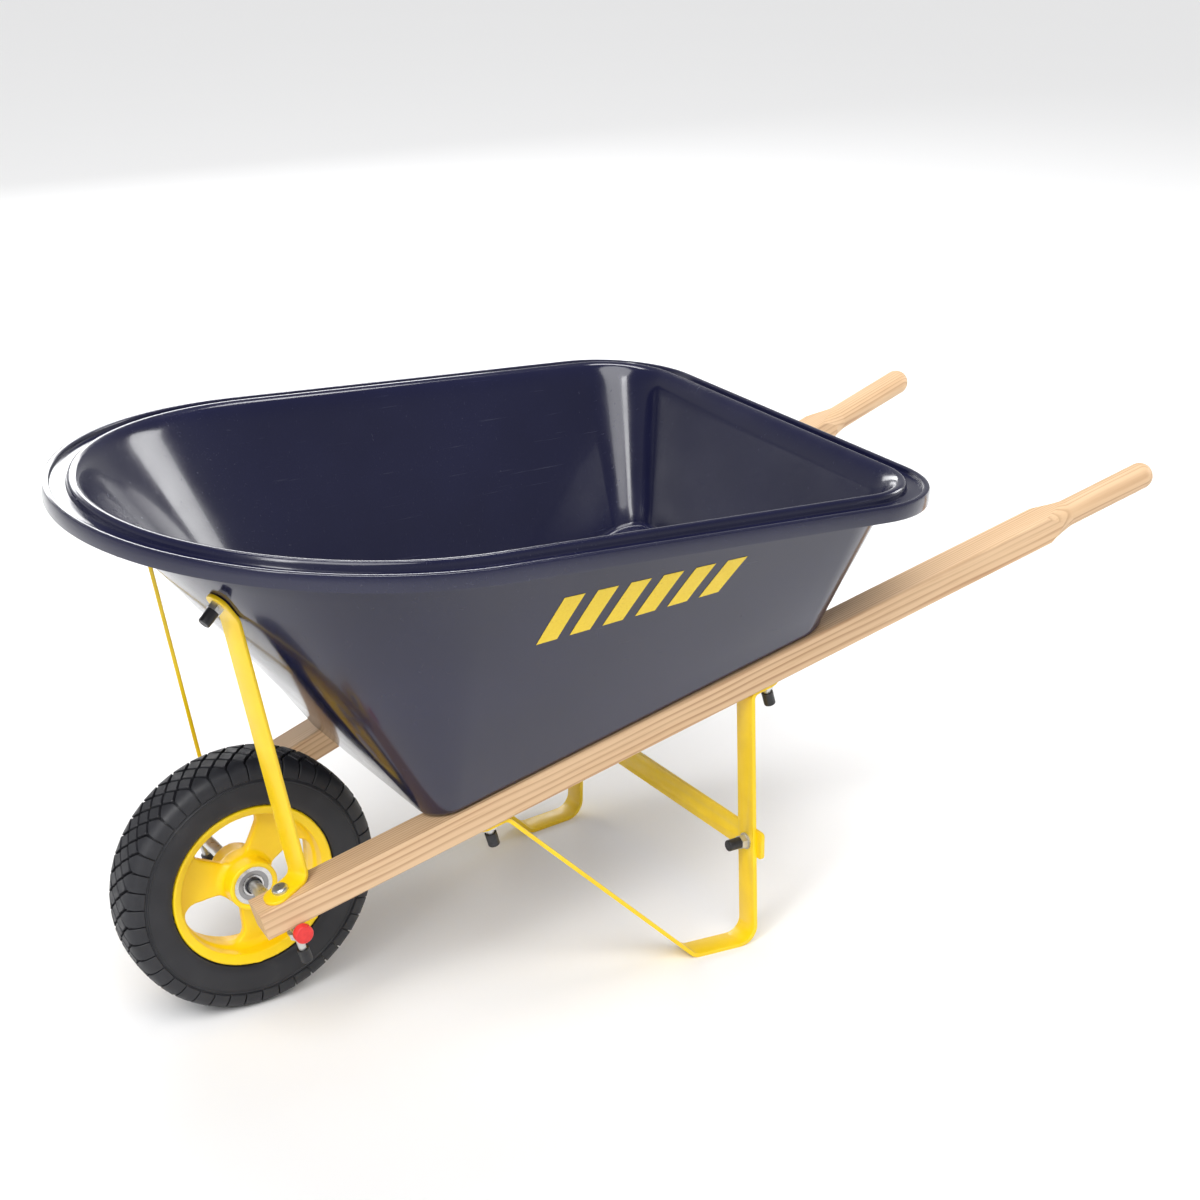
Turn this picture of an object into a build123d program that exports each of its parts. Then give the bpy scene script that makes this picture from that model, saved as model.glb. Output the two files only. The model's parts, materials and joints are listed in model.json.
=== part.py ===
"""A child's wheelbarrow: a moulded tray on two wooden rails, strap-steel legs and one wheel.

+X runs back towards the grips, +Z is up and the left side, as a pusher sees it, is -Y.
Everything is drawn with the axle over x = 0 and moved at the end, so that the origin lies
on the floor under the middle of the whole barrow.
"""
import os
from math import cos, hypot, radians, sin, tan

from build123d import *

# ---- wheel ----
TYRE_RADIUS = 100.0
TYRE_WIDTH = 46.0
TYRE_SHOULDER_DROP = 6.0
TREAD_WIDTH = 38.0
TREAD_DROP = 2.0
TREAD_EDGE_DRAFT = 1.0
BEAD_LIP = 1.0
TREAD_GROOVE_DEPTH = 3.0
TREAD_GROOVE_WIDTH = 3.0
SEAT_RADIUS = 60.0
SEAT_WIDTH = 34.0
FLANGE_RADIUS = 64.0
FLANGE_THICKNESS = 3.0
FLANGE_DRAFT = 1.0
RIM_WALL = 4.0
WHEEL_WEB = 7.0
HUB_RADIUS = 19.0
HUB_LENGTH = 39.0
SPOKES = 3
SPOKE_WIDTH = 17.0
WINDOW_INNER_RADIUS = 20.0
WINDOW_OUTER_RADIUS = 54.0
WINDOW_CORNER = 10.0
WINDOW_ANGLE = 110.0

# ---- bearings ----
BEARING_BORE = 10.0
BEARING_OUTSIDE = 30.0
BEARING_WIDTH = 9.0
BEARING_RECESS = 1.6
BALLS = 8
BALL_RADIUS = 2.2
BALL_PITCH_RADIUS = 10.0
BALL_CLEARANCE = 0.3
RACE_SHOULDER_GAP = 1.9
CAGE_CLEARANCE = 0.05
CAGE_THICKNESS = 1.5
CAGE_HEIGHT = 5.6
SHIELD_THICKNESS = 0.6
SHIELD_INSET = 0.4
SHIELD_GAP = 0.4
HUB_TUBE_WALL = 1.5

# ---- axle ----
AXLE_CAP_RADIUS = 7.0
AXLE_CAP_ENGAGED = 3.4
AXLE_CAP_WALL = 2.0
AXLE_CAP_EDGE_RADIUS = 1.2
AXLE_CAP_GAP = 0.4
CLIP_RADIUS = 6.6
CLIP_THICKNESS = 1.2
CLIP_GROOVE_DEPTH = 0.5
CLIP_GAP = 5.0
AXLE_CHAMFER = 0.5

# ---- wooden rails ----
RAIL_PITCH = 15.98
RAIL_SPLAY = 5.3
RAIL_SPACING = 172.0
RAIL_WIDTH = 25.5
RAIL_HEIGHT = 22.6
RAIL_EDGE_RADIUS = 1.5
RAIL_NOSE = 22.0
RAIL_LENGTH = 790.0
GRIP_LENGTH = 84.0
GRIP_RADIUS = 10.6
SHOULDER_LENGTH = 30.0
SHOULDER_TURN = 0.45
SHOULDER_SWELL = 0.32

# ---- tray ----
TRAY_WALL = 3.0
RIM_HEIGHT = 400.0
RIM_PITCH = 3.43
RIM_NOSE = 113.0
RIM_LENGTH = 604.5
RIM_WIDTH = 446.0
RIM_CORNER_RADIUS = 76.0
SKIRT_HEIGHT = 12.0
LIP_WIDTH = 5.0
CHANNEL_WIDTH = 11.5
CHANNEL_DEPTH = 4.0
CHANNEL_DRAFT = 1.0
BEAD_HEIGHT = 3.0
RIM_OVERHANG = 31.0
ROLL_RADIUS = 10.0
ROLL_CLEARANCE = 0.01
TUB_FRONT = 115.0
TUB_LENGTH = 346.0
TUB_FRONT_CORNER = 26.0
TUB_REAR_CORNER = 26.0
TUB_FLARE_ANGLE = 30.0
TUB_EDGE_RADIUS = 8.0
TUB_EDGE_SWEEP = 75.0
FLOOR_STEPS = 4

# ---- strap steel ----
STRAP_THICKNESS = 3.0
BRACE_WIDTH = 19.0
BRACE_YAW = 17.6
BRACE_LEAN = 6.4
BRACE_TOE = 14.0
BRACE_HEEL = 19.0
BRACE_HEEL_BEND = 7.0
BRACE_TAB_BEND = 16.0
BRACE_TAB_DROP = 15.0
BRACE_WALL_GAP = 0.3
BEND_STEPS = 6
LEG_WIDTH = 20.0
LEG_LEAN = 0.045
LEG_BACK = 366.0
LEG_FOOT_LENGTH = 54.0
LEG_HEEL_BEND = 14.0
LEG_TOE_BEND = 10.0
LEG_TAB_END = 11.0
LEG_TAB_BEND = 6.0
LEG_FRONT_BOLT = 150.0
LEG_FRONT_TAB = 23.0
LEG_REAR_BOLT = 380.0
CROSS_WIDTH = 22.0
CROSS_HEIGHT = 84.0
CROSS_OVERHANG = 6.5

# ---- fasteners ----
BOLT_RADIUS = 3.0
HOLE_CLEARANCE = 0.25
HEAD_RADIUS = 6.0
HEAD_HEIGHT = 3.6
HEAD_DOME_RADIUS = 2.16
NUT_FLATS = 10.0
NUT_HEIGHT = 5.0
WASHER_RADIUS = 6.5
WASHER_THICKNESS = 1.2
CAP_RADIUS = 4.5
CAP_LENGTH = 11.0
CAP_END_WALL = 2.0
CAP_END_RADIUS = 1.1
THREAD_PAST_NUT = 9.0
THREAD_PAST_LEG_NUT = 12.5
THREAD_PAST_AXLE_NUT = 20.0

AXLE_RADIUS = BEARING_BORE / 2
BEARING_Y = HUB_LENGTH / 2 - BEARING_RECESS - BEARING_WIDTH / 2
SIDES = {"left": -1, "right": 1}


# ---- frames of reference ----
AXLE_CENTRE = Vector(0, 0, TYRE_RADIUS)
UP_RAIL = Vector(cos(radians(RAIL_PITCH)), 0, sin(radians(RAIL_PITCH)))
OFF_RAIL = Vector(-sin(radians(RAIL_PITCH)), 0, cos(radians(RAIL_PITCH)))
RAIL_UNDERSIDE = Plane(AXLE_CENTRE + OFF_RAIL * AXLE_RADIUS, x_dir=UP_RAIL, z_dir=OFF_RAIL)
RAIL_TOP = RAIL_UNDERSIDE.offset(RAIL_HEIGHT)
RIM_PLANE = Plane((0, 0, RIM_HEIGHT), x_dir=(cos(radians(RIM_PITCH)), 0, -sin(radians(RIM_PITCH))),
                  z_dir=(sin(radians(RIM_PITCH)), 0, cos(radians(RIM_PITCH))))


def rail_centre_y(along):
    """Distance of a rail's centreline from the middle, measured up the slope from the axle."""
    return RAIL_SPACING / 2 + along * tan(radians(RAIL_SPLAY))


def rail_outer_y(along):
    """Distance of a rail's outer edge from the middle."""
    return rail_centre_y(along) + RAIL_WIDTH / 2 / cos(radians(RAIL_SPLAY))


def at_slope(x):
    """Distance up the slope of the rail's underside at a level distance x behind the axle."""
    return (x + AXLE_RADIUS * sin(radians(RAIL_PITCH))) / cos(radians(RAIL_PITCH))


def under_rail(x, side):
    """Point on a rail's underside, on its centreline, x behind the axle."""
    along = at_slope(x)
    return RAIL_UNDERSIDE.from_local_coords(Vector(along, side * rail_centre_y(along), 0))


# ---- small builders ----
def rod(radius, length):
    """Cylinder that stands on z = 0."""
    return Pos(0, 0, length / 2) * Cylinder(radius, length)


def ring(outer, inner, length):
    """Tube that stands on z = 0."""
    return rod(outer, length) - rod(inner, length)


def across(solid, y):
    """Turn a solid drawn along Z to lie along Y on the axle line, centred at y."""
    return Pos(0, y, TYRE_RADIUS) * Rot(90, 0, 0) * solid


def aim(point, direction):
    """Plane at a point with its Z along a direction."""
    return Plane(point, z_dir=direction)


def group(solids):
    """Compound of separate solids."""
    return Compound(children=list(solids))


# ---- fasteners, drawn with the head's seat at z = 0 and the shank running down ----
def bolt_blank(grip, past_nut):
    """Round-headed bolt with a domed head."""
    head = Pos(0, 0, HEAD_HEIGHT / 2) * Cylinder(HEAD_RADIUS, HEAD_HEIGHT)
    head = fillet(head.edges().group_by(Axis.Z)[-1], HEAD_DOME_RADIUS)
    shank_length = grip + NUT_HEIGHT + past_nut
    return head + Pos(0, 0, -shank_length) * rod(BOLT_RADIUS, shank_length)


def nut_blank(grip):
    """Hexagon nut against the far side of the grip."""
    nut = extrude(RegularPolygon(NUT_FLATS / 2, 6, major_radius=False), NUT_HEIGHT)
    return Pos(0, 0, -grip - NUT_HEIGHT) * (nut - rod(BOLT_RADIUS, NUT_HEIGHT))


def washer_blank(top):
    """Plain washer whose upper face is at height top."""
    return Pos(0, 0, top - WASHER_THICKNESS) * ring(WASHER_RADIUS, BOLT_RADIUS, WASHER_THICKNESS)


def cap_blank(grip, past_nut):
    """Push-on cap over the end of the thread."""
    covered = min(CAP_LENGTH - CAP_END_WALL, past_nut)
    end = -grip - NUT_HEIGHT - past_nut - (CAP_LENGTH - covered)
    cap = rod(CAP_RADIUS, CAP_LENGTH)
    cap = fillet(cap.edges().group_by(Axis.Z)[0], CAP_END_RADIUS)
    return Pos(0, 0, end) * (cap - Pos(0, 0, CAP_LENGTH - covered) * rod(BOLT_RADIUS, covered))


def hole(seat, length):
    """Clearance hole down from a seat plane, with a little above it."""
    spare = HEAD_HEIGHT
    return seat * Pos(0, 0, -length) * rod(BOLT_RADIUS + HOLE_CLEARANCE, length + spare)


# ---- wheel pieces ----
def make_wheel():
    half = SEAT_WIDTH / 2
    lip = half + FLANGE_THICKNESS
    web = WHEEL_WEB / 2
    inside = SEAT_RADIUS - RIM_WALL
    hub = HUB_LENGTH / 2
    outline = [(0, 0), (0, hub), (HUB_RADIUS, hub), (HUB_RADIUS, web * 2), (HUB_RADIUS + web, web),
               (inside - web, web), (inside, web * 2), (inside, half), (FLANGE_RADIUS - FLANGE_DRAFT, lip),
               (FLANGE_RADIUS, half), (SEAT_RADIUS, half), (SEAT_RADIUS, 0)]
    half_wheel = revolve(Plane.XZ * make_face(Polyline(*outline, close=True)), Axis.Z)
    wheel = half_wheel + mirror(half_wheel, Plane.XY)
    wheel -= Pos(0, 0, -hub) * rod(BEARING_OUTSIDE / 2 - RIM_WALL / 2, HUB_LENGTH)
    pocket = rod(BEARING_OUTSIDE / 2, BEARING_WIDTH + BEARING_RECESS)
    wheel -= Pos(0, 0, hub - BEARING_WIDTH - BEARING_RECESS) * pocket
    wheel -= Pos(0, 0, -hub) * pocket
    window = window_face()
    for i in range(SPOKES):
        turn = Rot(0, 0, WINDOW_ANGLE + i * 360 / SPOKES)
        wheel -= turn * Pos(0, 0, -web * 2.5) * extrude(window, web * 5)
    return across(wheel, 0)


def window_face():
    """Kidney window between two spokes, centred on the local +X axis."""
    sector = Circle(WINDOW_OUTER_RADIUS) - Circle(WINDOW_INNER_RADIUS)
    reach = WINDOW_OUTER_RADIUS * 2
    corner = SPOKE_WIDTH / 2 / sin(radians(180 / SPOKES))
    wedge = make_face(Polyline((corner, 0), (corner + reach, -reach), (corner + reach, reach), close=True))
    face = sector & wedge
    return fillet(face.vertices(), WINDOW_CORNER)


def make_tyre():
    half = TYRE_WIDTH / 2
    seat = SEAT_WIDTH / 2
    tread = TREAD_WIDTH / 2
    shoulder_radius = TYRE_RADIUS - TYRE_SHOULDER_DROP
    side = (shoulder_radius + FLANGE_RADIUS) / 2
    collar = (FLANGE_RADIUS + BEAD_LIP, seat + FLANGE_THICKNESS)
    shoulder = (shoulder_radius, tread + TREAD_EDGE_DRAFT)
    edge = (TYRE_RADIUS - TREAD_DROP, tread - TREAD_EDGE_DRAFT)
    top = (TYRE_RADIUS, 0)
    edges = [Line((SEAT_RADIUS, 0), (SEAT_RADIUS, seat)), Line((SEAT_RADIUS, seat), (FLANGE_RADIUS, seat)),
             Line((FLANGE_RADIUS, seat), collar), ThreePointArc(collar, (side, half), shoulder),
             Line(shoulder, edge), ThreePointArc(edge, (TYRE_RADIUS - TREAD_DROP / 4, tread / 2), top),
             Line(top, (SEAT_RADIUS, 0))]
    half_tyre = revolve(Plane.XZ * make_face(Wire(edges)), Axis.Z)
    tyre = half_tyre + mirror(half_tyre, Plane.XY)
    for spot in (-tread / 2, tread / 2):
        cutter = ring(TYRE_RADIUS + TREAD_GROOVE_DEPTH, TYRE_RADIUS - TREAD_GROOVE_DEPTH, TREAD_GROOVE_WIDTH)
        tyre -= Pos(0, 0, spot - TREAD_GROOVE_WIDTH / 2) * cutter
    return across(tyre, 0)


def make_bearing(side):
    """One shielded ball bearing, as its separate pieces."""
    y = side * BEARING_Y
    start = Pos(0, 0, -BEARING_WIDTH / 2)
    groove = Torus(BALL_PITCH_RADIUS, BALL_RADIUS + BALL_CLEARANCE)
    outer_bore = BALL_PITCH_RADIUS + RACE_SHOULDER_GAP
    inner_land = BALL_PITCH_RADIUS - RACE_SHOULDER_GAP
    outer = start * ring(BEARING_OUTSIDE / 2, outer_bore, BEARING_WIDTH) - groove
    inner = start * ring(inner_land, BEARING_BORE / 2, BEARING_WIDTH) - groove
    spots = [Rot(0, 0, (i + 0.5) * 360 / BALLS) * Pos(BALL_PITCH_RADIUS, 0, 0) for i in range(BALLS)]
    balls = [spot * Sphere(BALL_RADIUS) for spot in spots]
    cage = ring(BALL_PITCH_RADIUS + CAGE_THICKNESS / 2, BALL_PITCH_RADIUS - CAGE_THICKNESS / 2, CAGE_HEIGHT)
    cage = Pos(0, 0, -CAGE_HEIGHT / 2) * cage
    for spot in spots:
        cage -= spot * Rot(0, 90, 0) * Cylinder(BALL_RADIUS + CAGE_CLEARANCE, BALL_RADIUS * 2)
    shield = ring(outer_bore, inner_land + SHIELD_GAP, SHIELD_THICKNESS)
    face = BEARING_WIDTH / 2 - SHIELD_INSET
    shields = [Pos(0, 0, face - SHIELD_THICKNESS) * shield, Pos(0, 0, -face) * shield]
    return {"outer_race": across(outer, y), "inner_race": across(inner, y),
            "balls": group(across(ball, y) for ball in balls), "cage": across(cage, y),
            "shields": group(across(piece, y) for piece in shields)}


def clip_y():
    """Middle of the axle clip just outside a bearing."""
    return BEARING_Y + BEARING_WIDTH / 2 + CLIP_THICKNESS / 2


def axle_end():
    """Distance of the axle's end from the middle, clear of the rail by the cap's grip."""
    return rail_outer_y(AXLE_CAP_RADIUS) + AXLE_CAP_GAP + AXLE_CAP_ENGAGED


def make_axle():
    axle = Pos(0, 0, -axle_end()) * rod(AXLE_RADIUS, 2 * axle_end())
    axle = chamfer(axle.edges(), AXLE_CHAMFER)
    for side in SIDES.values():
        start = side * clip_y() - CLIP_THICKNESS / 2
        axle -= Pos(0, 0, start) * ring(CLIP_RADIUS, AXLE_RADIUS - CLIP_GROOVE_DEPTH, CLIP_THICKNESS)
    axle = across(axle, 0)
    for side in SIDES.values():
        axle -= hole(axle_bolt_seat(side), STRAP_THICKNESS + RAIL_HEIGHT + 3 * AXLE_RADIUS)
    return axle


def make_clip(side):
    """Spring clip in its groove, open on one side."""
    clip = ring(CLIP_RADIUS, AXLE_RADIUS - CLIP_GROOVE_DEPTH, CLIP_THICKNESS)
    clip -= Pos(CLIP_RADIUS, 0, 0) * Box(CLIP_RADIUS * 2, CLIP_GAP, CLIP_THICKNESS * 4)
    return across(Rot(0, 0, -90) * Pos(0, 0, -CLIP_THICKNESS / 2) * clip, side * clip_y())


def make_axle_cap(side):
    """Push cap over the axle's end."""
    cap = rod(AXLE_CAP_RADIUS, AXLE_CAP_ENGAGED + AXLE_CAP_WALL)
    cap = fillet(cap.edges().group_by(Axis.Z)[-1], AXLE_CAP_EDGE_RADIUS)
    cap -= rod(AXLE_RADIUS, AXLE_CAP_ENGAGED)
    placed = Rot(90, 0, 0) * Pos(0, 0, axle_end() - AXLE_CAP_ENGAGED) * cap
    if side > 0:
        placed = mirror(placed, Plane.XZ)
    return Pos(0, 0, TYRE_RADIUS) * placed


def make_hub_tube():
    length = 2 * (BEARING_Y - BEARING_WIDTH / 2)
    tube = Pos(0, 0, -length / 2) * ring(AXLE_RADIUS + HUB_TUBE_WALL, AXLE_RADIUS, length)
    return across(tube, 0)


# ---- rails ----
def make_rail(side):
    """Square rail with a turned grip at its rear end."""
    body = Box(RAIL_LENGTH, RAIL_WIDTH, RAIL_HEIGHT)
    body = fillet(body.edges().filter_by(Axis.X), RAIL_EDGE_RADIUS)
    body = Pos(RAIL_LENGTH / 2, 0, 0) * body
    corner = hypot(RAIL_WIDTH, RAIL_HEIGHT) / 2 + RAIL_EDGE_RADIUS
    neck = RAIL_LENGTH - GRIP_LENGTH
    tip = RAIL_LENGTH - GRIP_RADIUS
    swell = (neck - SHOULDER_LENGTH * SHOULDER_TURN, GRIP_RADIUS + (corner - GRIP_RADIUS) * SHOULDER_SWELL)
    sweep_in = ThreePointArc((neck - SHOULDER_LENGTH, corner), swell, (neck, GRIP_RADIUS))
    dome = ThreePointArc((tip, GRIP_RADIUS), (tip + GRIP_RADIUS * sin(radians(45)),
                         GRIP_RADIUS * cos(radians(45))), (RAIL_LENGTH, 0))
    edges = [Line((0, 0), (0, corner)), Line((0, corner), sweep_in @ 0), sweep_in,
             Line((neck, GRIP_RADIUS), (tip, GRIP_RADIUS)), dome, Line((RAIL_LENGTH, 0), (0, 0))]
    lathe = revolve(make_face(Wire(edges)), Axis.X)
    rail = body & lathe
    rail = Pos(-RAIL_NOSE, 0, 0) * rail
    placed = Pos(0, side * RAIL_SPACING / 2, RAIL_HEIGHT / 2) * Rot(0, 0, side * RAIL_SPLAY) * rail
    rail = RAIL_UNDERSIDE * placed
    rail -= hole(axle_bolt_seat(side), STRAP_THICKNESS + RAIL_HEIGHT * 2)
    for x in (LEG_FRONT_BOLT, LEG_REAR_BOLT):
        rail -= hole(leg_bolt_seat(x, side), RAIL_HEIGHT * 2)
    return rail


# ---- tray ----
def tub_bottom(inset, rise):
    """Floor outline of the tub, on the rails' slope, in by inset and up by rise."""
    front = TUB_FRONT + inset
    rear = TUB_FRONT + TUB_LENGTH - inset
    corners = [(front, -rail_outer_y(front) + inset), (rear, -rail_outer_y(rear) + inset),
               (rear, rail_outer_y(rear) - inset), (front, rail_outer_y(front) - inset)]
    front_radius, rear_radius = TUB_FRONT_CORNER - inset, TUB_REAR_CORNER - inset
    radii = [front_radius, rear_radius, rear_radius, front_radius]
    return RAIL_TOP.offset(rise) * rounded_outline(corners, radii)


def rounded_outline(corners, radii):
    """Closed wire of straight sides joined by arcs, starting on the first side's first arc."""
    edges = []
    count = len(corners)
    ends = []
    for i in range(count):
        here = Vector(*corners[i])
        before = (Vector(*corners[i - 1]) - here).normalized()
        after = (Vector(*corners[(i + 1) % count]) - here).normalized()
        half = radians(before.get_angle(after)) / 2
        reach = radii[i] / tan(half)
        middle = here + (before + after).normalized() * (radii[i] / sin(half) - radii[i])
        ends.append((here + before * reach, middle, here + after * reach))
    for i in range(count):
        start, middle, end = ends[i]
        edges.append(ThreePointArc(start, middle, end))
        edges.append(Line(end, ends[(i + 1) % count][0]))
    return Wire(edges)


def rim_outline(inset):
    """Outline of the rim in by inset: a round nose, straight sides and rounded rear corners."""
    radius = RIM_WIDTH / 2 - inset
    centre = RIM_WIDTH / 2 - RIM_NOSE
    rear = RIM_LENGTH - RIM_NOSE - inset
    corner = RIM_CORNER_RADIUS - inset
    inner = corner * (1 - cos(radians(45)))

    def nose(angle, side):
        return (centre - radius * cos(radians(angle)), side * radius * sin(radians(angle)))

    half_flare = (90 + TUB_FLARE_ANGLE) / 2
    edges = [ThreePointArc(nose(TUB_FLARE_ANGLE, -1), nose(half_flare, -1), nose(90, -1)),
             Line((centre, -radius), (rear - corner, -radius)),
             ThreePointArc((rear - corner, -radius), (rear - inner, inner - radius), (rear, corner - radius)),
             Line((rear, corner - radius), (rear, radius - corner)),
             ThreePointArc((rear, radius - corner), (rear - inner, radius - inner), (rear - corner, radius)),
             Line((rear - corner, radius), (centre, radius)),
             ThreePointArc(nose(90, 1), nose(half_flare, 1), nose(TUB_FLARE_ANGLE, 1)),
             ThreePointArc(nose(TUB_FLARE_ANGLE, 1), nose(0, 1), nose(TUB_FLARE_ANGLE, -1))]
    return Wire(edges)


def tub_solid(inset, rise):
    """Solid between the tub's round-edged floor and the level where the rim's roll begins."""
    radius = TUB_EDGE_RADIUS - inset
    levels = []
    for i in range(FLOOR_STEPS + 1):
        angle = radians(TUB_EDGE_SWEEP * i / FLOOR_STEPS)
        levels.append(tub_bottom(inset + radius * (1 - sin(angle)), rise + radius * (1 - cos(angle))))
    top = RIM_PLANE.offset(BEAD_HEIGHT - ROLL_RADIUS) * rim_outline(RIM_OVERHANG - TRAY_WALL + inset)
    return Solid.make_loft([*levels, top], ruled=True)


def rim_section():
    """Section of the rolled rim: skirt, lip, channel and bead, drawn inwards from the skirt."""
    roll = RIM_OVERHANG
    foot = BEAD_HEIGHT - ROLL_RADIUS
    channel_end = LIP_WIDTH + CHANNEL_WIDTH
    points = [(0, -SKIRT_HEIGHT), (0, 0), (LIP_WIDTH, 0), (LIP_WIDTH, -CHANNEL_DEPTH),
              (channel_end, -CHANNEL_DEPTH), (channel_end + CHANNEL_DRAFT, BEAD_HEIGHT), (roll, BEAD_HEIGHT),
              (roll, foot), (roll - TRAY_WALL, foot), (roll - TRAY_WALL, BEAD_HEIGHT - TRAY_WALL),
              (channel_end + CHANNEL_DRAFT + TRAY_WALL, BEAD_HEIGHT - TRAY_WALL),
              (channel_end + TRAY_WALL, -CHANNEL_DEPTH - TRAY_WALL),
              (TRAY_WALL, -CHANNEL_DEPTH - TRAY_WALL), (TRAY_WALL, -SKIRT_HEIGHT)]
    radii = {1: TRAY_WALL / 2, 2: TRAY_WALL / 2, 3: TRAY_WALL / 2, 4: TRAY_WALL / 2, 5: TRAY_WALL,
             6: ROLL_RADIUS - ROLL_CLEARANCE, 9: ROLL_RADIUS - TRAY_WALL - ROLL_CLEARANCE,
             12: TRAY_WALL / 3}
    face = make_face(Polyline(*points, close=True))
    for i, radius in radii.items():
        corner = Vector(*points[i])
        spot = min(face.vertices(), key=lambda v: (Vector(*v) - corner).length)
        face = fillet(spot, radius)
    return face


def make_tray():
    outer = tub_solid(0, 0)
    inner = tub_solid(TRAY_WALL, TRAY_WALL)
    centre = RIM_WIDTH / 2 - RIM_NOSE
    start = Plane((centre, -RIM_WIDTH / 2, 0), x_dir=(0, 1, 0), z_dir=(1, 0, 0))
    rim = RIM_PLANE * sweep(start * rim_section(), path=rim_outline(0))
    tray = (outer - inner) + rim
    for side in SIDES.values():
        seats = [leg_bolt_seat(x, side) for x in (LEG_FRONT_BOLT, LEG_REAR_BOLT)]
        for seat in [*seats, brace_bolt_seat(side)]:
            tray -= hole(seat, TRAY_WALL * 5)
            tray -= seat * Pos(0, 0, -WASHER_THICKNESS) * rod(WASHER_RADIUS + HOLE_CLEARANCE, TRAY_WALL)
    return tray


# ---- fastener seats ----
def axle_bolt_seat(side):
    """Seat of the head on the brace's foot; the bolt runs down through rail and axle."""
    lift = RAIL_HEIGHT + STRAP_THICKNESS
    return aim(RAIL_UNDERSIDE.from_local_coords(Vector(0, side * RAIL_SPACING / 2, lift)), OFF_RAIL)


def leg_bolt_seat(x, side):
    """Seat of the head on its washer inside the tray; the bolt runs down through the rail."""
    lift = RAIL_HEIGHT + TRAY_WALL + WASHER_THICKNESS
    return aim(under_rail(x, side) + OFF_RAIL * lift, OFF_RAIL)


# ---- straps ----
def make_leg(side):
    """One strap bent into a triangle under a rail, with a flat foot."""
    half = STRAP_THICKNESS / 2
    front = LEG_FRONT_BOLT - LEG_TAB_END
    rear = LEG_REAR_BOLT + LEG_TAB_END
    back = LEG_BACK - half
    toe = LEG_BACK - LEG_FOOT_LENGTH

    def under(x):
        return (x, under_rail(x, side).Z - half / cos(radians(RAIL_PITCH)))

    bends = [(LEG_TAB_BEND, under(front + LEG_FRONT_TAB)), (LEG_TOE_BEND, (toe, half)),
             (LEG_HEEL_BEND, (back, half)), (LEG_TAB_BEND, under(back))]
    line = FilletPolyline(under(front), *(point for _, point in bends), under(rear),
                          radius=[radius for radius, _ in bends])
    section = Plane.XZ * trace(line, STRAP_THICKNESS)
    reach = RIM_WIDTH
    strap = Pos(0, reach / 2, 0) * extrude(section, reach)
    strap &= leg_slab(side)
    for x in (LEG_FRONT_BOLT, LEG_REAR_BOLT):
        strap -= hole(leg_bolt_seat(x, side), RAIL_HEIGHT * 2)
    strap -= cross_bolt_hole(side)
    strap -= leg_end(LEG_FRONT_BOLT, side, -1)
    strap -= leg_end(LEG_REAR_BOLT, side, 1)
    return strap


def leg_end(x, side, way):
    """Cutter that rounds a leg's tab about its bolt, forward or rearward."""
    plane = aim(under_rail(x, side) - OFF_RAIL * (STRAP_THICKNESS / 2), OFF_RAIL)
    return round_end(plane, LEG_WIDTH, UP_RAIL * way, LEG_TAB_END)


def leg_centre_y(x, z):
    """Distance of a leg's centre plane from the middle."""
    top = under_rail(x, 1)
    return top.Y + LEG_LEAN * (top.Z - z)


def leg_slab(side):
    """Leaning slab, as thick as the strap is wide, that holds one leg."""
    rise = under_rail(1, 1) - under_rail(0, 1)
    lead = rise.Y / rise.X + LEG_LEAN * rise.Z / rise.X
    normal = Vector(-lead * side, 1, LEG_LEAN * side)
    plane = Plane((0, side * leg_centre_y(0, 0), 0), z_dir=normal)
    return plane * Box(4 * RIM_LENGTH, 4 * RIM_LENGTH, LEG_WIDTH / normal.length)


def cross_bolt_seat(side):
    """Seat of the cross brace's bolt head, on the brace's rear face."""
    y = side * leg_centre_y(LEG_BACK, CROSS_HEIGHT)
    return aim((LEG_BACK + STRAP_THICKNESS, y, CROSS_HEIGHT), (1, 0, 0))


def cross_bolt_hole(side):
    return hole(cross_bolt_seat(side), STRAP_THICKNESS * 3)


def make_cross_brace():
    """Flat strap across the backs of the two legs."""
    half = leg_centre_y(LEG_BACK, CROSS_HEIGHT) + LEG_WIDTH / 2 + CROSS_OVERHANG
    bar = Box(STRAP_THICKNESS, 2 * half, CROSS_WIDTH)
    bar = fillet(bar.edges().filter_by(Axis.X), STRAP_THICKNESS)
    bar = Pos(LEG_BACK + STRAP_THICKNESS / 2, 0, CROSS_HEIGHT) * bar
    for side in SIDES.values():
        bar -= cross_bolt_hole(side)
    return bar


def brace_foot(side):
    """Centre of a front brace's foot over its bolt, with the directions of its heel and of its fold."""
    seat = RAIL_TOP.from_local_coords(Vector(0, side * RAIL_SPACING / 2, STRAP_THICKNESS / 2))
    yaw = radians(BRACE_YAW)
    heel_dir = UP_RAIL * cos(yaw) + Vector(0, -side * sin(yaw), 0)
    return seat, heel_dir, OFF_RAIL.cross(heel_dir)


def wall_hit(inset, rise, start, direction):
    """Nearest point where a line meets a tub wall, with the wall's outward normal."""
    hits = tub_solid(inset, rise).find_intersection_points(Axis(start, direction))
    return min(hits, key=lambda hit: (hit[0] - start).length)


def brace_line(side):
    """Start and direction of the straight run from the foot's heel up to the tray."""
    seat, heel_dir, _ = brace_foot(side)
    lean = radians(BRACE_LEAN)
    return seat + heel_dir * BRACE_HEEL, OFF_RAIL * cos(lean) + heel_dir * sin(lean)


def brace_tab(side):
    """Where the brace's run meets the tray's wall, the wall's outward normal and its uphill direction."""
    heel, run = brace_line(side)
    meet, normal = wall_hit(0, 0, heel, run)
    return meet, normal, normal.cross(Vector(0, 0, 1).cross(normal).normalized())


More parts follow.
